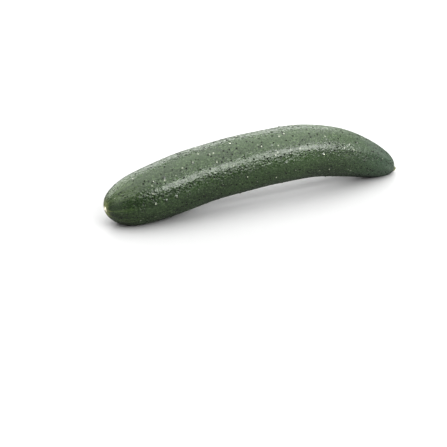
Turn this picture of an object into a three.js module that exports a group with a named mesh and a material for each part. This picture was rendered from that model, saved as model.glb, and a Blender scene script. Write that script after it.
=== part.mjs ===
// A slicing cucumber as one solid, arched along its length and lying on two small flats.
// Millimetres, +Z up. The blossom end is at -X, the stem end at +X and the floor at Z = 0.
// The origin is on the floor under the middle of the cucumber's box.
import * as THREE from "three";

// Overall form
const tipToTip = 261;
const widestDiameter = 45;
const widestPlace = 0.44; // share of the length from the blossom tip
const blossomBluntness = 6.2; // a larger number holds the full width further towards the tip
const stemBluntness = 2.85;

// Arch of the centreline, with the angles measured from the floor
const blossomTipHeight = 14.3;
const stemTipHeight = 2;
const blossomRise = THREE.MathUtils.degToRad(6);
const stemDroop = THREE.MathUtils.degToRad(32);
const blossomHandle = 73;
const stemHandle = 110;

// Cross-section: three soft corners with one on top, ten shallow ribs and slow swells
const cornerHeight = 0.4;
const topAngle = Math.PI / 2;
const ribCount = 10;
const ribHeight = 0.14;
const ribHeightAtEnds = 0.26;
const ribFadeLength = 60; // how far from a tip the ribs settle to their middle height
const reliefStartLength = 25; // how far from a tip the relief reaches its full height
const swells = [
  { height: 0.5, length: 110, shift: 0.28, winding: 1 },
  { height: 0.13, length: 47, shift: 0, winding: -2 },
];

// Blossom scar: a shallow dimple with a nub in it
const dimpleRadius = 5.5;
const dimpleDepth = 0.9;
const nubRadius = 1.9;
const nubHeight = 1.1;

// Stem scar: the stub of the cut stalk in a shallow hollow
const stubRadius = 2.1;
const stubFootRadius = 3.3;
const stubLength = 2.8;
const hollowRadius = 8;
const hollowDepth = 0.8;

// Warts in rows along the ribs
const wartSeed = 41;
const wartSpacing = 26;
const wartSpacingSpread = 0.8; // share of the spacing that a step may be longer or shorter
const wartDrift = 2; // facets that a wart may stand to either side of its rib
const wartFootRadius = 1.25;
const wartFacetShare = 0.36; // largest foot radius, as a share of the facet's width
const wartShoulder = 0.6; // share of the foot radius
const wartShoulderRise = 0.75; // share of the height
const wartHeights = [0.35, 0.75];
const wartFreeEnds = [14, 9]; // skin without warts, from the blossom tip and from the stem tip
const wartSides = 8;
const wartFloorClearance = 2.5;

// Facets of the skin
const sides = 40;
const ringStep = 4.3;
const tipStep = 0.7;
const stepGrowth = 0.22;
const tableSteps = 4000;
const normalStep = 0.2;

// Repeatable draws
const drawMultiplier = 1664525;
const drawIncrement = 1013904223;
const drawRange = 2 ** 32;

const halfLength = tipToTip / 2;
const sideAngle = (2 * Math.PI) / sides;

const centreline = new THREE.CubicBezierCurve3(
  new THREE.Vector3(-halfLength, 0, blossomTipHeight),
  new THREE.Vector3(
    -halfLength + blossomHandle * Math.cos(blossomRise),
    0,
    blossomTipHeight + blossomHandle * Math.sin(blossomRise),
  ),
  new THREE.Vector3(
    halfLength - stemHandle * Math.cos(stemDroop),
    0,
    stemTipHeight + stemHandle * Math.sin(stemDroop),
  ),
  new THREE.Vector3(halfLength, 0, stemTipHeight),
);
centreline.arcLengthDivisions = 1000;
const centrelineLength = centreline.getLength();

// Radius of the smooth body, where share runs from 0 at the blossom tip to 1 at the stem tip
function bodyRadius(share) {
  const towardsBlossom = share < widestPlace;
  const reach = towardsBlossom
    ? (widestPlace - share) / widestPlace
    : (share - widestPlace) / (1 - widestPlace);
  const bluntness = towardsBlossom ? blossomBluntness : stemBluntness;
  return (widestDiameter / 2) * Math.sqrt(Math.max(0, 1 - reach ** bluntness));
}

// Distance over the skin from the blossom tip, tabled against the share of the centreline
function skinDistanceTable() {
  const table = [{ share: 0, distance: 0 }];
  for (let step = 1; step <= tableSteps; step += 1) {
    const last = table[step - 1];
    const share = (1 - Math.cos((Math.PI * step) / tableSteps)) / 2;
    const along = (share - last.share) * centrelineLength;
    const outward = bodyRadius(share) - bodyRadius(last.share);
    table.push({ share, distance: last.distance + Math.hypot(along, outward) });
  }
  return table;
}

const skinTable = skinDistanceTable();
const skinLength = skinTable[tableSteps].distance;

function shareAtDistance(distance) {
  const wanted = THREE.MathUtils.clamp(distance, 0, skinLength);
  let low = 0;
  let high = tableSteps;
  while (high - low > 1) {
    const middle = Math.floor((low + high) / 2);
    if (skinTable[middle].distance > wanted) high = middle;
    else low = middle;
  }
  const span = skinTable[high].distance - skinTable[low].distance;
  const part = (wanted - skinTable[low].distance) / span;
  return THREE.MathUtils.lerp(skinTable[low].share, skinTable[high].share, part);
}

// Smooth hill that is 1 out to its inner radius and 0 from its outer radius on
function hill(distance, innerRadius, outerRadius) {
  return 1 - THREE.MathUtils.smoothstep(distance, innerRadius, outerRadius);
}

// How far the ribs and the soft corners push the skin out at this place
function sectionRelief(distance, angle) {
  const fromTip = Math.min(distance, skinLength - distance);
  const onset = THREE.MathUtils.smoothstep(fromTip, 0, reliefStartLength);
  const ribs = THREE.MathUtils.lerp(ribHeightAtEnds, ribHeight, Math.min(1, fromTip / ribFadeLength));
  const ribWave = Math.cos(ribCount * (angle - sideAngle / 2));
  const cornerWave = Math.cos(3 * (angle - topAngle));
  let relief = ribs * ribWave + cornerHeight * cornerWave;
  for (const { height, length, shift, winding } of swells) {
    relief += height * Math.sin(2 * Math.PI * (distance / length + shift) + winding * angle);
  }
  return onset * relief;
}

// How far the scars push the two tips out, level and away from the middle
function tipRelief(distance) {
  const fromStem = skinLength - distance;
  if (distance < fromStem) {
    return nubHeight * hill(distance, 0, nubRadius) - dimpleDepth * hill(distance, 0, dimpleRadius);
  }
  const stub = stubLength * hill(fromStem, stubRadius, stubFootRadius);
  return stub - hollowDepth * hill(fromStem, 0, hollowRadius);
}

// Point of the skin: angle 0 faces +Y and a quarter turn faces up
function skinPoint(distance, angle) {
  const share = shareAtDistance(distance);
  const point = centreline.getPointAt(share);
  const tangent = centreline.getTangentAt(share);
  const radius = bodyRadius(share) + sectionRelief(distance, angle);
  const away = distance < skinLength / 2 ? -1 : 1;
  point.x += away * tipRelief(distance);
  point.addScaledVector(new THREE.Vector3(-tangent.z, 0, tangent.x), radius * Math.sin(angle));
  point.y += radius * Math.cos(angle);
  return point;
}

// The outward direction at a place on the skin, from two short steps across it
function skinNormal(distance, angle) {
  const turn = normalStep / bodyRadius(shareAtDistance(distance));
  const along = skinPoint(distance + normalStep, angle).sub(skinPoint(distance - normalStep, angle));
  const round = skinPoint(distance, angle + turn).sub(skinPoint(distance, angle - turn));
  return round.cross(along).normalize();
}

// Ring places: close together at the tips and ringStep apart along the middle
function ringDistances() {
  const distances = [0];
  let last = 0;
  while (last < skinLength) {
    const fromTip = Math.min(last, skinLength - last);
    last += Math.min(ringStep, tipStep + stepGrowth * fromTip);
    distances.push(last);
  }
  return distances.map((distance) => (distance * skinLength) / last);
}

// Evenly spread numbers from 0 to 1, the same on every run
function seededDraw(seed) {
  let state = seed;
  return () => {
    state = (state * drawMultiplier + drawIncrement) % drawRange;
    return state / drawRange;
  };
}

// One row of warts on each rib, each wart in the middle of a facet and keyed by its number
function placeWarts(rings) {
  const draw = seededDraw(wartSeed);
  const warts = new Map();
  for (let row = 0; row < ribCount; row += 1) {
    let reach = wartFreeEnds[0] + wartSpacing * draw();
    while (reach < skinLength - wartFreeEnds[1]) {
      const drift = Math.floor((2 * wartDrift + 1) * draw()) - wartDrift;
      const side = ((row * sides) / ribCount + drift + sides) % sides;
      const ring = rings.findIndex((place) => place > reach) - 1;
      const height = THREE.MathUtils.lerp(wartHeights[0], wartHeights[1], draw());
      const distance = (rings[ring] + rings[ring + 1]) / 2;
      const angle = (side + 0.5) * sideAngle;
      if (skinPoint(distance, angle).z > wartFloorClearance) {
        warts.set(ring * sides + side, { distance, angle, height });
      }
      reach += wartSpacing * (1 + wartSpacingSpread * (2 * draw() - 1));
    }
  }
  return warts;
}

// The skin's mesh: its points, flattened where they meet the floor, and its faces
const positions = [];
const faces = [];

function addPoint(point) {
  positions.push(point.x, point.y, Math.max(0, point.z));
  return positions.length / 3 - 1;
}

function addRing(distance) {
  const ring = [];
  for (let side = 0; side < sides; side += 1) {
    ring.push(addPoint(skinPoint(distance, side * sideAngle)));
  }
  return ring;
}

// Ring of points round a wart, at a distance from its middle and a height over the skin
function addWartRing(wart, reach, height) {
  const radius = bodyRadius(shareAtDistance(wart.distance));
  const ring = [];
  for (let corner = 0; corner < wartSides; corner += 1) {
    const turn = ((corner + 0.5) * 2 * Math.PI) / wartSides;
    const along = reach * Math.sin(turn);
    const round = (reach * Math.cos(turn)) / radius;
    const point = skinPoint(wart.distance + along, wart.angle + round);
    ring.push(addPoint(point.addScaledVector(wart.normal, height)));
  }
  return ring;
}

// A wart raised from the middle of one facet, whose corners run anticlockwise from outside
function addWart(corners, { distance, angle, height }) {
  const facetWidth = bodyRadius(shareAtDistance(distance)) * sideAngle;
  const footRadius = Math.min(wartFootRadius, wartFacetShare * facetWidth);
  const rise = (height * footRadius) / wartFootRadius;
  const wart = { distance, angle, normal: skinNormal(distance, angle) };
  const foot = addWartRing(wart, footRadius, 0);
  const shoulder = addWartRing(wart, wartShoulder * footRadius, wartShoulderRise * rise);
  const peak = addPoint(skinPoint(distance, angle).addScaledVector(wart.normal, rise));
  for (let corner = 0; corner < wartSides; corner += 1) {
    const next = (corner + 1) % wartSides;
    faces.push(foot[corner], shoulder[next], shoulder[corner]);
    faces.push(foot[corner], foot[next], shoulder[next]);
    faces.push(shoulder[corner], shoulder[next], peak);
  }
  // Between the facet's outline and the foot, each facet corner meets two foot points
  for (const [quarter, corner] of corners.entries()) {
    const nextCorner = corners[(quarter + 1) % corners.length];
    const nearFoot = foot[2 * quarter + 1];
    faces.push(corner, nearFoot, foot[2 * quarter]);
    faces.push(corner, nextCorner, nearFoot);
    faces.push(nextCorner, foot[(2 * quarter + 2) % wartSides], nearFoot);
  }
}

function addFacet(corners) {
  faces.push(corners[0], corners[1], corners[2]);
  faces.push(corners[0], corners[2], corners[3]);
}

function addSkin() {
  const distances = ringDistances();
  const warts = placeWarts(distances);
  const blossomTip = addPoint(skinPoint(0, 0));
  const rings = distances.slice(1, -1).map(addRing);
  const stemTip = addPoint(skinPoint(skinLength, 0));
  const lastRing = rings.at(-1);
  for (let side = 0; side < sides; side += 1) {
    const next = (side + 1) % sides;
    faces.push(blossomTip, rings[0][next], rings[0][side]);
    faces.push(stemTip, lastRing[side], lastRing[next]);
    for (let row = 1; row < rings.length; row += 1) {
      const [near, far] = [rings[row - 1], rings[row]];
      const corners = [far[next], far[side], near[side], near[next]];
      const wart = warts.get(row * sides + side);
      if (wart) addWart(corners, wart);
      else addFacet(corners);
    }
  }
}

// The finished geometry, moved level so that its box is centred over the origin
function skinGeometry() {
  addSkin();
  const geometry = new THREE.BufferGeometry();
  geometry.setAttribute("position", new THREE.Float32BufferAttribute(positions, 3));
  geometry.setIndex(faces);
  geometry.computeBoundingBox();
  const { min, max } = geometry.boundingBox;
  geometry.translate(-(min.x + max.x) / 2, -(min.y + max.y) / 2, 0);
  geometry.computeVertexNormals();
  return geometry;
}

const skinMaterial = new THREE.MeshStandardMaterial({
  color: 0x3a4c2e,
  roughness: 0.36,
  metalness: 0,
});

const cucumber = new THREE.Mesh(skinGeometry(), skinMaterial);
cucumber.name = "cucumber";

const part = new THREE.Group();
part.add(cucumber);

export default part;
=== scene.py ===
import math

import bpy
import numpy as np
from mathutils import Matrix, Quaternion, Vector, noise


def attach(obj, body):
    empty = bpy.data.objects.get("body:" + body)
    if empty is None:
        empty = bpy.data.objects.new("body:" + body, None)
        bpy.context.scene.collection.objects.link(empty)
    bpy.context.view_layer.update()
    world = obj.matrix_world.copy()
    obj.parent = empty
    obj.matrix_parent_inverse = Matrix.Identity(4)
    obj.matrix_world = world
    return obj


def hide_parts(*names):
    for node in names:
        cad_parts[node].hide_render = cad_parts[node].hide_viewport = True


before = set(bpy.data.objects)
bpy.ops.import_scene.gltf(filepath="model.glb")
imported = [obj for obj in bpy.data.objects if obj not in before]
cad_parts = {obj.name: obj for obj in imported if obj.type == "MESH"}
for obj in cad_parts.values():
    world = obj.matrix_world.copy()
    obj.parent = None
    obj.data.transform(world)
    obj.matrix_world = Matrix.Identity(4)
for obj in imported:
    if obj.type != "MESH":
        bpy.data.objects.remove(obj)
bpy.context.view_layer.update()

# The cucumber is worked out in millimetres, in the CAD part's own frame, and scaled at the end.
MM = 0.001
FULL_TURN = 2 * math.pi

# Overall form and arch, as in the part
TIP_TO_TIP = 261
WIDEST_DIAMETER = 45
WIDEST_PLACE = 0.44
BLOSSOM_BLUNTNESS = 6.2
STEM_BLUNTNESS = 2.85
BLOSSOM_TIP_HEIGHT = 14.3
STEM_TIP_HEIGHT = 2
BLOSSOM_RISE = math.radians(6)
STEM_DROOP = math.radians(32)
BLOSSOM_HANDLE = 73
STEM_HANDLE = 110
TABLE_STEPS = 4000  # steps in the tabled centreline

# Cross-section and slow swells, as in the part
CORNER_COUNT = 3
CORNER_HEIGHT = 0.4
TOP_ANGLE = math.pi / 2
RIB_COUNT = 10
RIB_HEIGHT = 0.14
RIB_HEIGHT_AT_ENDS = 0.26
RIB_FADE_LENGTH = 60
RELIEF_START_LENGTH = 25
SWELLS = ((0.5, 110, 0.28, 1), (0.13, 47, 0, -2))  # height, length, shift in turns, winding

# Scars at the two tips, as in the part
DIMPLE_RADIUS = 5.5
DIMPLE_DEPTH = 0.9
NUB_RADIUS = 1.9
NUB_HEIGHT = 1.1
STUB_RADIUS = 2.1
STUB_FOOT_RADIUS = 3.3
STUB_LENGTH = 2.8
HOLLOW_RADIUS = 8
HOLLOW_DEPTH = 0.8

# Warts, placed by the part's own rule on the part's own facets
PART_SIDES = 40
PART_RING_STEPS = (4.3, 0.7, 0.22)  # along the middle, at a tip, growth with distance
WART_SEED = 41
WART_SPACING = 26
WART_SPACING_SPREAD = 0.8
WART_DRIFT = 2
WART_FOOT_RADIUS = 1.25
WART_FACET_SHARE = 0.36
WART_HEIGHTS = (0.35, 0.75)
WART_FREE_ENDS = (14, 9)
WART_FLOOR_CLEARANCE = 2.5
WART_SKIRT = 1.35  # how much wider the smooth wart is than the faceted one
PALE_WART_SHARE = 0.8
PALE_WART_SPREAD = 0.3  # how much less of its tip the least pale of them shows
GOLDEN_STEP = 0.618  # spreads the pale warts evenly through the list
DRAW_MULTIPLIER = 1664525
DRAW_INCREMENT = 1013904223
DRAW_RANGE = 2 ** 32

# Fine skin
FINE_SIDES = 228
FINE_RING_STEPS = (0.66, 0.16, 0.16)
PEBBLE_SIZE = 2.4
PEBBLE_HEIGHT = 0.14
PEBBLE_SHARPNESS = 7
PEBBLE_REACH = 0.62  # from a seed to the bottom of a crease, in pebble sizes
PEBBLE_FADE = (6, 26, 26)  # bare skin at a tip, then the fades at the blossom and stem ends
PIMPLE_SPACING = 3.2
PIMPLE_RADIUS = 1.0
PIMPLE_HEIGHT = 0.1

# Skin colours: the green under all the rest, then tints with how strongly each one covers
DEEP_GREEN = (0.009, 0.018, 0.006)
SLOW_GREEN = (0.017, 0.032, 0.011), 1
MOTTLE_GREEN = (0.05, 0.075, 0.034), 0.7
# pebble tops painted paler as painted highlight, the creases between left darker as painted shade
PEBBLE_LIGHT_AND_SHADE_GREEN = (0.038, 0.06, 0.027), 0.15
STREAK_GREEN = (0.075, 0.105, 0.04), 0.45
STEM_END_GREEN = (0.018, 0.036, 0.024), 0.55
# near-black painted shade in the pits
PIT_SHADE_BLACK = (0.003, 0.005, 0.002), 0.95
FRECKLE_GREY = (0.155, 0.165, 0.13), 0.9
SCAR_YELLOW = (0.18, 0.2, 0.065), 0.8
NUB_CREAM = (0.8, 0.76, 0.62), 1
STUB_OLIVE = (0.12, 0.13, 0.07), 1
CUT_FACE_TAN = (0.3, 0.29, 0.2), 1
# painted shade in a ring round the foot of each pale wart
WART_FOOT_SHADE = (0.006, 0.01, 0.005), 0.7
WART_TIP_PALE = (0.42, 0.46, 0.34), 1

# Noise over the skin: frequency per millimetre around and along, then detail
SLOW_NOISE = (0.06, 0.025, 3)
MOTTLE_NOISE = (0.8, 0.65, 4)
STREAK_NOISE = (0.28, 0.012, 2)
WAX_NOISE = (0.7, 0.6, 4)
GRAIN_NOISE = (1.2, 1.2, 4)

# Levels of that noise where each pattern starts and where it is full
SLOW_LEVELS = (0.35, 0.65)
MOTTLE_LEVELS = (0.5, 0.66)
STREAK_LEVELS = (0.46, 0.62)
WAX_LEVELS = (0.35, 0.65)

# Distances from a tip over which each tint fades out
STREAK_FADE = (4, 46)
STEM_END_FADE = (15, 80)
SCAR_FADE = (0.5, 8.5)
SCAR_RAY_LENGTH = 3
NUB_FADE = (1.7, 2.6)
STUB_FADE = (3.2, 3.8)
CUT_FACE_FADE = (1.9, 2.3)

# Pits darkened with painted shade, and freckles: random cells, of which each has a number from 0 to 1 that
# says what it holds
SPECK_CELLS = 0.3  # per millimetre
SPECK_FADE = (0.16, 0.29)  # distances from a cell's seed, in cells
PIT_FADE = (0, 0.3)
FRECKLE_NUMBERS = (0.05, 0.11)
PORE_NUMBERS = (0.1, 0.55)
STEM_SPECK_SHRINK = 0.75  # at the stem end the cells narrow with the skin, so distances in them shrink
STEM_SPECK_FADE = (12, 75)

# Paleness of a wart at which the painted shade round its foot and its pale tip start, and at which they
# are full
WART_FOOT_LEVELS = (0.02, 0.2)
WART_TIP_LEVELS = (0.6, 0.9)

# Gloss and fine bumps
WAX_ROUGHNESS = (0.13, 0.38)
PORE_ROUGHNESS = 0.6
HAZE_ROUGHNESS = 0.3
HAZE_LEVELS = (0.4, 0.85)  # from skin that faces the eye, 0, to skin seen edge-on, 1
WAX_IOR = 1.47
DOT_CELLS = 0.62  # per millimetre
DOT_BUMP = (0.8, 0.22)  # strength, depth in millimetres
GRAIN_BUMP = (0.5, 0.12)
PIT_BUMP = (1, 0.6)

# Camera, in metres: the photograph's viewing angle, aimed a little left of the origin and below it
CAMERA_AZIMUTH = math.radians(-25.3)
CAMERA_ELEVATION = math.radians(25)
CAMERA_DISTANCE = 0.8605
CAMERA_AIM_RIGHT = -0.0287
CAMERA_AIM_UP = -0.0216
CAMERA_LENS = 85
CAMERA_NEAR_LIMIT = 0.01

# Floor, in metres, and light
FLOOR_HALF_WIDTH = 1.2
FLOOR_GREY = 0.27
FLOOR_ROUGHNESS = 0.6
LIGHT_TARGET = (0, 0, 0.03)
WORLD_BRIGHTNESS = 0.08


def form_points():
    """The four control points of the centreline."""
    half = TIP_TO_TIP / 2
    blossom = np.array([-half, 0, BLOSSOM_TIP_HEIGHT])
    stem = np.array([half, 0, STEM_TIP_HEIGHT])
    rise = np.array([math.cos(BLOSSOM_RISE), 0, math.sin(BLOSSOM_RISE)])
    droop = np.array([-math.cos(STEM_DROOP), 0, math.sin(STEM_DROOP)])
    return blossom, blossom + BLOSSOM_HANDLE * rise, stem + STEM_HANDLE * droop, stem


def body_radius(share):
    """Radius of the smooth body, where share runs from 0 at the blossom tip to 1 at the stem tip."""
    to_blossom = share < WIDEST_PLACE
    reach = np.where(to_blossom, 1 - share / WIDEST_PLACE, (share - WIDEST_PLACE) / (1 - WIDEST_PLACE))
    bluntness = np.where(to_blossom, BLOSSOM_BLUNTNESS, STEM_BLUNTNESS)
    return WIDEST_DIAMETER / 2 * np.sqrt(np.maximum(0, 1 - reach ** bluntness))


class Centreline:
    """The arched centreline, and the distance over the skin tabled against it."""

    def __init__(self):
        blossom, blossom_handle, stem_handle, stem = form_points()
        way = np.linspace(0, 1, TABLE_STEPS + 1)[:, None]
        rest = 1 - way
        self.points = (
            rest ** 3 * blossom
            + 3 * rest ** 2 * way * blossom_handle
            + 3 * rest * way ** 2 * stem_handle
            + way ** 3 * stem
        )
        tangents = (
            rest ** 2 * (blossom_handle - blossom)
            + 2 * rest * way * (stem_handle - blossom_handle)
            + way ** 2 * (stem - stem_handle)
        )
        self.tangents = tangents / np.linalg.norm(tangents, axis=1)[:, None]
        steps = np.linalg.norm(np.diff(self.points, axis=0), axis=1)
        reached = np.concatenate(([0], np.cumsum(steps)))
        self.length = reached[-1]
        self.shares = reached / self.length
        self.skin_shares = (1 - np.cos(np.linspace(0, math.pi, TABLE_STEPS + 1))) / 2
        along = np.diff(self.skin_shares) * self.length
        outward = np.diff(body_radius(self.skin_shares))
        self.distances = np.concatenate(([0], np.cumsum(np.hypot(along, outward))))
        self.skin_length = self.distances[-1]

    def share_at(self, distance):
        """How far along the centreline, from 0 to 1, a distance over the skin reaches."""
        return np.interp(distance, self.distances, self.skin_shares)

    def look_up(self, table, share):
        """Values of the points or the tangents at a share of the centreline."""
        return np.stack([np.interp(share, self.shares, table[:, axis]) for axis in range(3)], -1)


LINE = Centreline()


def smooth_step(value, low, high):
    """Rises smoothly from 0 at low to 1 at high."""
    part = np.clip((value - low) / (high - low), 0, 1)
    return part * part * (3 - 2 * part)


def hill(distance, inner_radius, outer_radius):
    """Smooth hill that is 1 out to its inner radius and 0 from its outer radius on."""
    return 1 - smooth_step(distance, inner_radius, outer_radius)


def section_relief(distance, angle):
    """How far ribs, soft corners and swells push the skin out."""
    from_tip = np.minimum(distance, LINE.skin_length - distance)
    inward = np.minimum(1, from_tip / RIB_FADE_LENGTH)
    ribs = RIB_HEIGHT_AT_ENDS + (RIB_HEIGHT - RIB_HEIGHT_AT_ENDS) * inward
    relief = ribs * np.cos(RIB_COUNT * (angle - math.pi / PART_SIDES))
    relief = relief + CORNER_HEIGHT * np.cos(CORNER_COUNT * (angle - TOP_ANGLE))
    for height, length, shift, winding in SWELLS:
        relief = relief + height * np.sin(FULL_TURN * (distance / length + shift) + winding * angle)
    return smooth_step(from_tip, 0, RELIEF_START_LENGTH) * relief


def tip_relief(distance):
    """How far the scars push the tips out, level and away from the middle."""
    from_stem = LINE.skin_length - distance
    nub = NUB_HEIGHT * hill(distance, 0, NUB_RADIUS)
    dimple = DIMPLE_DEPTH * hill(distance, 0, DIMPLE_RADIUS)
    stub = STUB_LENGTH * hill(from_stem, STUB_RADIUS, STUB_FOOT_RADIUS)
    hollow = HOLLOW_DEPTH * hill(from_stem, 0, HOLLOW_RADIUS)
    return np.where(distance < from_stem, nub - dimple, stub - hollow)


def skin_points(distance, angle, lift=0.0):
    """Points of the skin, lifted off the section by lift. Angle 0 faces +Y and a quarter turn faces up."""
    share = LINE.share_at(distance)
    middle = LINE.look_up(LINE.points, share)
    tangent = LINE.look_up(LINE.tangents, share)
    level = np.zeros_like(tangent[..., 0])
    upward = np.stack([-tangent[..., 2], level, tangent[..., 0]], -1)
    radius = body_radius(share) + section_relief(distance, angle) + lift
    away = np.where(distance < LINE.skin_length / 2, -1, 1)
    points = middle + upward * (radius * np.sin(angle))[..., None]
    points[..., 0] += away * tip_relief(distance)
    points[..., 1] += radius * np.cos(angle)
    return points


def ring_distances(steps):
    """Ring places: close together at the tips and evenly spaced along the middle."""
    middle_step, tip_step, growth = steps
    distances = [0.0]
    while distances[-1] < LINE.skin_length:
        from_tip = min(distances[-1], LINE.skin_length - distances[-1])
        distances.append(distances[-1] + min(middle_step, tip_step + growth * from_tip))
    return np.array(distances) * (LINE.skin_length / distances[-1])


def seeded_draws(seed):
    """Evenly spread numbers from 0 to 1, the same on every run and the same as in the part."""
    state = seed
    while True:
        state = (state * DRAW_MULTIPLIER + DRAW_INCREMENT) % DRAW_RANGE
        yield state / DRAW_RANGE


def place_warts():
    """The part's warts as (distance, angle, height, foot radius)."""
    draws = seeded_draws(WART_SEED)
    rings = ring_distances(PART_RING_STEPS)
    side_angle = FULL_TURN / PART_SIDES
    free_blossom_end, free_stem_end = WART_FREE_ENDS
    lowest, highest = WART_HEIGHTS
    warts = {}
    for row in range(RIB_COUNT):
        reach = free_blossom_end + WART_SPACING * next(draws)
        while reach < LINE.skin_length - free_stem_end:
            drift = math.floor((2 * WART_DRIFT + 1) * next(draws)) - WART_DRIFT
            side = (row * PART_SIDES // RIB_COUNT + drift) % PART_SIDES
            ring = int(np.searchsorted(rings, reach, side="right")) - 1
            height = lowest + (highest - lowest) * next(draws)
            distance = (rings[ring] + rings[ring + 1]) / 2
            angle = (side + 0.5) * side_angle
            if skin_points(np.array(distance), np.array(angle))[2] > WART_FLOOR_CLEARANCE:
                facet = body_radius(LINE.share_at(distance)) * side_angle
                foot = min(WART_FOOT_RADIUS, WART_FACET_SHARE * facet)
                warts[ring, side] = (distance, angle, height * foot / WART_FOOT_RADIUS, foot)
            reach += WART_SPACING * (1 + WART_SPACING_SPREAD * (2 * next(draws) - 1))
    return list(warts.values())


def wart_relief(distances, angles):
    """Height of the warts over a grid of skin, and how pale the skin is on their tips."""
    height = np.zeros((len(distances), len(angles)))
    paleness = np.zeros_like(height)
    for index, (distance, angle, rise, foot) in enumerate(place_warts()):
        reach = foot * WART_SKIRT
        rows = np.flatnonzero(np.abs(distances - distance) < reach)
        radius = body_radius(LINE.share_at(distance))
        across = (angles - angle + math.pi) % FULL_TURN - math.pi
        columns = np.flatnonzero(np.abs(across) * radius < reach)
        off = np.hypot((distances[rows] - distance)[:, None], across[columns][None] * radius) / reach
        patch = np.ix_(rows, columns)
        dome = np.maximum(0, 1 - off ** 2) ** 2
        height[patch] = np.maximum(height[patch], rise * dome)
        turn = (index * GOLDEN_STEP % 1) / PALE_WART_SHARE
        if turn < 1:
            paleness[patch] = np.maximum(paleness[patch], dome * (1 - PALE_WART_SPREAD * turn))
    return height, paleness


def cell_distances(points, cell_size):
    """Distances from each point to the four nearest seeds of a random pattern of cells."""
    flat = points.reshape(-1, 3) / cell_size
    return np.array([noise.voronoi(Vector(place))[0] for place in flat.tolist()])


def pebble_relief(points):
    """Rounded pebbles with creases between them, from 0 in a crease to 1 on a top."""
    near = cell_distances(points, PEBBLE_SIZE)
    soft = -np.log(np.exp(-PEBBLE_SHARPNESS * near).sum(axis=1)) / PEBBLE_SHARPNESS
    return np.clip(1 - soft / PEBBLE_REACH, 0, 1).reshape(points.shape[:2])


def pimple_relief(points):
    """Small scattered domes from 0 to 1, wherever the skin passes close to a seed."""
    nearest = cell_distances(points, PIMPLE_SPACING)[:, 0].reshape(points.shape[:2])
    off = nearest * PIMPLE_SPACING / PIMPLE_RADIUS
    return np.maximum(0, 1 - off ** 2) ** 2


def relief_strength(distance):
    """How much of the pebbles and pimples shows: none at the bare tips and all along the middle."""
    bare, blossom_fade, stem_fade = PEBBLE_FADE
    from_blossom = smooth_step(distance, bare, bare + blossom_fade)
    from_stem = smooth_step(LINE.skin_length - distance, bare, bare + stem_fade)
    return from_blossom * from_stem


def skin_faces(rings):
    """Four-sided faces between neighbouring rings, and a fan of triangles round each tip."""
    side = np.arange(FINE_SIDES)
    following = (side + 1) % FINE_SIDES
    faces = []
    for ring in range(rings - 1):
        near = ring * FINE_SIDES
        far = near + FINE_SIDES
        faces += np.stack([far + following, far + side, near + side, near + following], -1).tolist()
    last = (rings - 1) * FINE_SIDES
    blossom_tip = rings * FINE_SIDES
    stem_tip = blossom_tip + 1
    blossom_fan = np.stack([np.full_like(side, blossom_tip), following, side], -1)
    stem_fan = np.stack([np.full_like(side, stem_tip), last + side, last + following], -1)
    return faces + blossom_fan.tolist() + stem_fan.tolist()


def store_numbers(mesh, name, values):
    mesh.attributes.new(name, "FLOAT", "POINT").data.foreach_set("value", values)


def store_vectors(mesh, name, values):
    mesh.attributes.new(name, "FLOAT_VECTOR", "POINT").data.foreach_set("vector", values.ravel())


def store_skin_places(mesh, along, around):
    """Stores where each point would be if the skin were wrapped round a straight cylinder."""
    radius = WIDEST_DIAMETER / 2
    along = np.append(along.ravel(), [0, LINE.skin_length])
    around = np.append(around.ravel(), [0, 0])
    place = np.stack([radius * np.cos(around), radius * np.sin(around), along], -1)
    store_vectors(mesh, "skin_place", place)


def build_skin():
    """The fine skin as one closed mesh, with what its material needs stored on its points."""
    distances = ring_distances(FINE_RING_STEPS)[1:-1]
    angles = np.arange(FINE_SIDES) * FULL_TURN / FINE_SIDES
    along, around = np.meshgrid(distances, angles, indexing="ij")
    smooth = skin_points(along, around)
    warts, paleness = wart_relief(distances, angles)
    pebbles = pebble_relief(smooth)
    strength = relief_strength(along)
    fine = PEBBLE_HEIGHT * (pebbles - 0.5) + PIMPLE_HEIGHT * pimple_relief(smooth)
    rows = skin_points(along, around, warts + strength * fine)
    tips = [skin_points(np.array(end), np.array(0.0)) for end in (0.0, LINE.skin_length)]
    points = np.vstack([rows.reshape(-1, 3), tips])
    points[:, 2] = np.maximum(0, points[:, 2])
    points[:, :2] -= (points[:, :2].min(axis=0) + points[:, :2].max(axis=0)) / 2

    mesh = bpy.data.meshes.new("cucumber_skin")
    mesh.from_pydata((points * MM).tolist(), [], skin_faces(len(distances)))
    mesh.polygons.foreach_set("use_smooth", [True] * len(mesh.polygons))
    store_skin_places(mesh, along, around)
    store_numbers(mesh, "wart_tip", np.append(paleness.ravel(), [0, 0]))
    store_numbers(mesh, "pebble", np.append((strength * pebbles).ravel(), [0, 0]))
    return bpy.data.objects.new("cucumber_skin", mesh)


def add_node(tree, kind, inputs=(), **settings):
    """Adds a shader node. An input is a number, a colour or the socket that feeds it."""
    made = tree.nodes.new(kind)
    for name, value in settings.items():
        setattr(made, name, value)
    for key, value in dict(inputs).items():
        if isinstance(value, bpy.types.NodeSocket):
            tree.links.new(value, made.inputs[key])
        else:
            made.inputs[key].default_value = value
    return made


def add_math(tree, operation, *values):
    """Result of one arithmetic step on numbers and sockets."""
    return add_node(tree, "ShaderNodeMath", dict(enumerate(values)), operation=operation).outputs[0]


def add_ramp(tree, value, low, high, to_low=0, to_high=1):
    """Turns low to high into to_low to to_high, smoothly."""
    inputs = {"Value": value, "From Min": low, "From Max": high, "To Min": to_low, "To Max": to_high}
    made = add_node(tree, "ShaderNodeMapRange", inputs, interpolation_type="SMOOTHSTEP")
    return made.outputs["Result"]


def add_fade(tree, value, fade):
    """Falls smoothly from 1 where the fade starts to 0 where it ends."""
    return add_ramp(tree, value, *fade, 1, 0)


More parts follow.
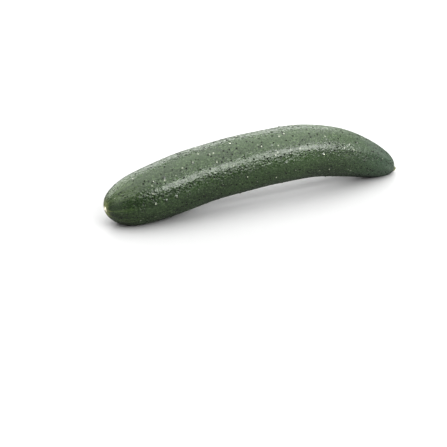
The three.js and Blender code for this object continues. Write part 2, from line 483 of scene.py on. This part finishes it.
def add_tint(tree, colour, share, tint):
    """Covers colour with a tint where share is 1, and leaves it where share is 0."""
    over, strength = tint
    inputs = {0: add_math(tree, "MULTIPLY", share, strength), 6: colour, 7: (*over, 1)}
    return add_node(tree, "ShaderNodeMix", inputs, data_type="RGBA").outputs[2]


def add_noise(tree, place, pattern):
    """Noise over the skin, by its frequency per millimetre around and along and its detail."""
    around, along, detail = pattern
    inputs = {0: place, 1: (around, around, along)}
    scaled = add_node(tree, "ShaderNodeVectorMath", inputs, operation="MULTIPLY").outputs[0]
    inputs = {"Vector": scaled, "Scale": 1, "Detail": detail}
    return add_node(tree, "ShaderNodeTexNoise", inputs).outputs["Fac"]


def add_cells(tree, place, frequency):
    """A random pattern of cells over the skin."""
    return add_node(tree, "ShaderNodeTexVoronoi", {"Vector": place, "Scale": frequency}).outputs


def add_bump(tree, height, bump, under=None, invert=False):
    """Bumps of one strength and depth, on top of the bumps that are already under them."""
    strength, depth = bump
    inputs = {"Height": height, "Strength": strength, "Distance": depth * MM}
    if under is not None:
        inputs["Normal"] = under
    return add_node(tree, "ShaderNodeBump", inputs, invert=invert).outputs[0]


def read_attribute(tree, name, output):
    return add_node(tree, "ShaderNodeAttribute", attribute_name=name).outputs[output]


def new_material(name):
    material = bpy.data.materials.new(name)
    material.use_nodes = True
    shader = material.node_tree.nodes["Principled BSDF"]
    return material, material.node_tree, shader


def mottled_green(tree, place, pebble):
    """Deep green that slowly comes and goes, with fine pale mottling, and pebble tops painted paler as
    painted highlight over creases left darker as painted shade.
    """
    slow = add_ramp(tree, add_noise(tree, place, SLOW_NOISE), *SLOW_LEVELS)
    colour = add_tint(tree, (*DEEP_GREEN, 1), slow, SLOW_GREEN)
    mottling = add_ramp(tree, add_noise(tree, place, MOTTLE_NOISE), *MOTTLE_LEVELS)
    colour = add_tint(tree, colour, mottling, MOTTLE_GREEN)
    # painted highlight on the pebble tops, painted shade in the creases
    return add_tint(tree, colour, pebble, PEBBLE_LIGHT_AND_SHADE_GREEN)


def tint_ends(tree, colour, from_blossom, from_stem, streaks):
    """Yellowish streaks over the blossom end, and bluer green towards the stem."""
    near_blossom = add_fade(tree, from_blossom, STREAK_FADE)
    colour = add_tint(tree, colour, add_math(tree, "MULTIPLY", near_blossom, streaks), STREAK_GREEN)
    return add_tint(tree, colour, add_fade(tree, from_stem, STEM_END_FADE), STEM_END_GREEN)


def add_specks(tree, place, from_stem):
    """Dark specks of painted shade, the pits that they lie in, and pale freckles, spread over random
    cells.
    """
    cells = add_cells(tree, place, SPECK_CELLS)
    number = add_node(tree, "ShaderNodeSeparateColor", {0: cells["Color"]}).outputs["Red"]
    shrink = add_ramp(tree, from_stem, *STEM_SPECK_FADE, STEM_SPECK_SHRINK, 1)
    off_centre = add_math(tree, "MULTIPLY", cells["Distance"], shrink)
    speck = add_fade(tree, off_centre, SPECK_FADE)
    holds_pore = add_ramp(tree, number, *PORE_NUMBERS)
    holds_freckle = add_fade(tree, number, FRECKLE_NUMBERS)
    shaded_pits = add_math(tree, "MULTIPLY", holds_pore, speck)
    pits = add_math(tree, "MULTIPLY", holds_pore, add_fade(tree, off_centre, PIT_FADE))
    freckles = add_math(tree, "MULTIPLY", holds_freckle, speck)
    return shaded_pits, pits, freckles


def tint_scars(tree, colour, from_blossom, from_stem, streaks):
    """A rayed yellow patch with a cream nub at the blossom tip, and the stub of the stalk."""
    rayed = add_math(tree, "MULTIPLY_ADD", streaks, -SCAR_RAY_LENGTH, from_blossom)
    colour = add_tint(tree, colour, add_fade(tree, rayed, SCAR_FADE), SCAR_YELLOW)
    colour = add_tint(tree, colour, add_fade(tree, from_blossom, NUB_FADE), NUB_CREAM)
    colour = add_tint(tree, colour, add_fade(tree, from_stem, STUB_FADE), STUB_OLIVE)
    return add_tint(tree, colour, add_fade(tree, from_stem, CUT_FACE_FADE), CUT_FACE_TAN)


def tint_warts(tree, colour, wart_tip):
    """Painted shade round the foot and a pale tip on the pale warts."""
    # painted shade round the wart's foot
    colour = add_tint(tree, colour, add_ramp(tree, wart_tip, *WART_FOOT_LEVELS), WART_FOOT_SHADE)
    return add_tint(tree, colour, add_ramp(tree, wart_tip, *WART_TIP_LEVELS), WART_TIP_PALE)


def skin_roughness(tree, place, shaded_pits):
    """Uneven wax, duller in the painted-shade specks of the pits and where the skin turns away from the
    eye.
    """
    wax = add_ramp(tree, add_noise(tree, place, WAX_NOISE), *WAX_LEVELS, *WAX_ROUGHNESS)
    turned_away = add_node(tree, "ShaderNodeLayerWeight").outputs["Facing"]
    haze = add_ramp(tree, turned_away, *HAZE_LEVELS, 0, HAZE_ROUGHNESS)
    hazy_wax = add_math(tree, "ADD", wax, haze)
    return add_math(tree, "MULTIPLY_ADD", shaded_pits, PORE_ROUGHNESS, hazy_wax)


def skin_bumps(tree, place, pits):
    """Small round dots, then fine grain, then the pits under the painted-shade specks."""
    dots = add_cells(tree, place, DOT_CELLS)["Distance"]
    dotted = add_bump(tree, dots, DOT_BUMP, invert=True)
    grained = add_bump(tree, add_noise(tree, place, GRAIN_NOISE), GRAIN_BUMP, dotted)
    return add_bump(tree, pits, PIT_BUMP, grained, invert=True)


def skin_material():
    """Waxy dark green skin: mottled, with painted highlight on the pebble tops, painted shade in the pits
    and round the pale warts' feet, pale freckles, pale wart tips and scarred ends.
    """
    material, tree, shader = new_material("cucumber_skin")
    place = read_attribute(tree, "skin_place", "Vector")
    wart_tip = read_attribute(tree, "wart_tip", "Fac")
    pebble = read_attribute(tree, "pebble", "Fac")
    from_blossom = add_node(tree, "ShaderNodeSeparateXYZ", {0: place}).outputs["Z"]
    from_stem = add_math(tree, "SUBTRACT", LINE.skin_length, from_blossom)
    streaks = add_ramp(tree, add_noise(tree, place, STREAK_NOISE), *STREAK_LEVELS)
    shaded_pits, pits, freckles = add_specks(tree, place, from_stem)

    colour = mottled_green(tree, place, pebble)
    colour = tint_ends(tree, colour, from_blossom, from_stem, streaks)
    # near-black painted shade in the pits
    colour = add_tint(tree, colour, shaded_pits, PIT_SHADE_BLACK)
    colour = add_tint(tree, colour, freckles, FRECKLE_GREY)
    colour = tint_scars(tree, colour, from_blossom, from_stem, streaks)
    colour = tint_warts(tree, colour, wart_tip)
    tree.links.new(colour, shader.inputs["Base Color"])
    tree.links.new(skin_roughness(tree, place, shaded_pits), shader.inputs["Roughness"])
    tree.links.new(skin_bumps(tree, place, pits), shader.inputs["Normal"])
    shader.inputs["IOR"].default_value = WAX_IOR
    return material


def floor_material():
    """Plain matt grey, which the lights bring up to white."""
    material, _, shader = new_material("floor")
    shader.inputs["Base Color"].default_value = (FLOOR_GREY, FLOOR_GREY, FLOOR_GREY, 1)
    shader.inputs["Roughness"].default_value = FLOOR_ROUGHNESS
    return material


def add_to_scene(made):
    bpy.context.scene.collection.objects.link(made)


def view_directions():
    """Unit vectors from the object to the camera, to the picture's right and to its top."""
    flat = math.cos(CAMERA_ELEVATION)
    back = Vector((
        math.sin(CAMERA_AZIMUTH) * flat,
        -math.cos(CAMERA_AZIMUTH) * flat,
        math.sin(CAMERA_ELEVATION),
    ))
    right = Vector((math.cos(CAMERA_AZIMUTH), math.sin(CAMERA_AZIMUTH), 0))
    return back, right, back.cross(right)


def add_camera():
    back, right, upward = view_directions()
    data = bpy.data.cameras.new("camera")
    data.lens = CAMERA_LENS
    data.clip_start = CAMERA_NEAR_LIMIT
    camera = bpy.data.objects.new("camera", data)
    camera.location = right * CAMERA_AIM_RIGHT + upward * CAMERA_AIM_UP + back * CAMERA_DISTANCE
    camera.rotation_euler = (-back).to_track_quat("-Z", "Y").to_euler()
    add_to_scene(camera)
    bpy.context.scene.camera = camera


def add_area_light(name, place, size, watts, tilt=0):
    """A soft rectangular light that faces the cucumber, with its long side tilt degrees off the level."""
    data = bpy.data.lights.new(name, "AREA")
    data.shape = "RECTANGLE"
    data.size, data.size_y = size
    data.energy = watts
    light = bpy.data.objects.new(name, data)
    light.location = place
    facing = (Vector(LIGHT_TARGET) - Vector(place)).to_track_quat("-Z", "Y")
    light.rotation_euler = (facing @ Quaternion((0, 0, 1), math.radians(tilt))).to_euler()
    add_to_scene(light)


def add_lights():
    """Soft lights round the cucumber, placed and sized in metres."""
    add_area_light("overhead_light", place=(0.0, 0.07, 1.15), size=(2.7, 1.6), watts=41)
    add_area_light("front_light", place=(0.48, -1.06, 0.74), size=(1.8, 0.75), watts=34, tilt=-11)
    add_area_light("back_light", place=(-0.1, 1.6, 0.76), size=(3.9, 0.98), watts=41, tilt=1)
    add_area_light("right_light", place=(1.6, 0.0, 0.66), size=(2.3, 1.15), watts=11.5)
    add_area_light("left_light", place=(-1.1, -0.35, 0.42), size=(1.2, 0.75), watts=4)


def add_world():
    """Dim light from all round, behind a plain white background."""
    world = bpy.data.worlds.new("studio")
    world.use_nodes = True
    tree = world.node_tree
    background = tree.nodes["Background"]
    background.inputs["Color"].default_value = (1, 1, 1, 1)
    seen = add_node(tree, "ShaderNodeLightPath").outputs["Is Camera Ray"]
    tree.links.new(add_ramp(tree, seen, 0, 1, WORLD_BRIGHTNESS, 1), background.inputs["Strength"])
    bpy.context.scene.world = world


def add_floor():
    half = FLOOR_HALF_WIDTH
    corners = [(-half, -half, 0), (half, -half, 0), (half, half, 0), (-half, half, 0)]
    mesh = bpy.data.meshes.new("floor")
    mesh.from_pydata(corners, [], [(0, 1, 2, 3)])
    mesh.materials.append(floor_material())
    floor = bpy.data.objects.new("floor", mesh)
    add_to_scene(floor)


def add_cucumber():
    skin = build_skin()
    skin.data.materials.append(skin_material())
    add_to_scene(skin)
    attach(skin, "root")
    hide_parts("cucumber")


add_camera()
add_cucumber()
add_floor()
add_lights()
add_world()
bpy.context.scene.view_settings.view_transform = "Standard"
bpy.context.scene.view_settings.look = "High Contrast"
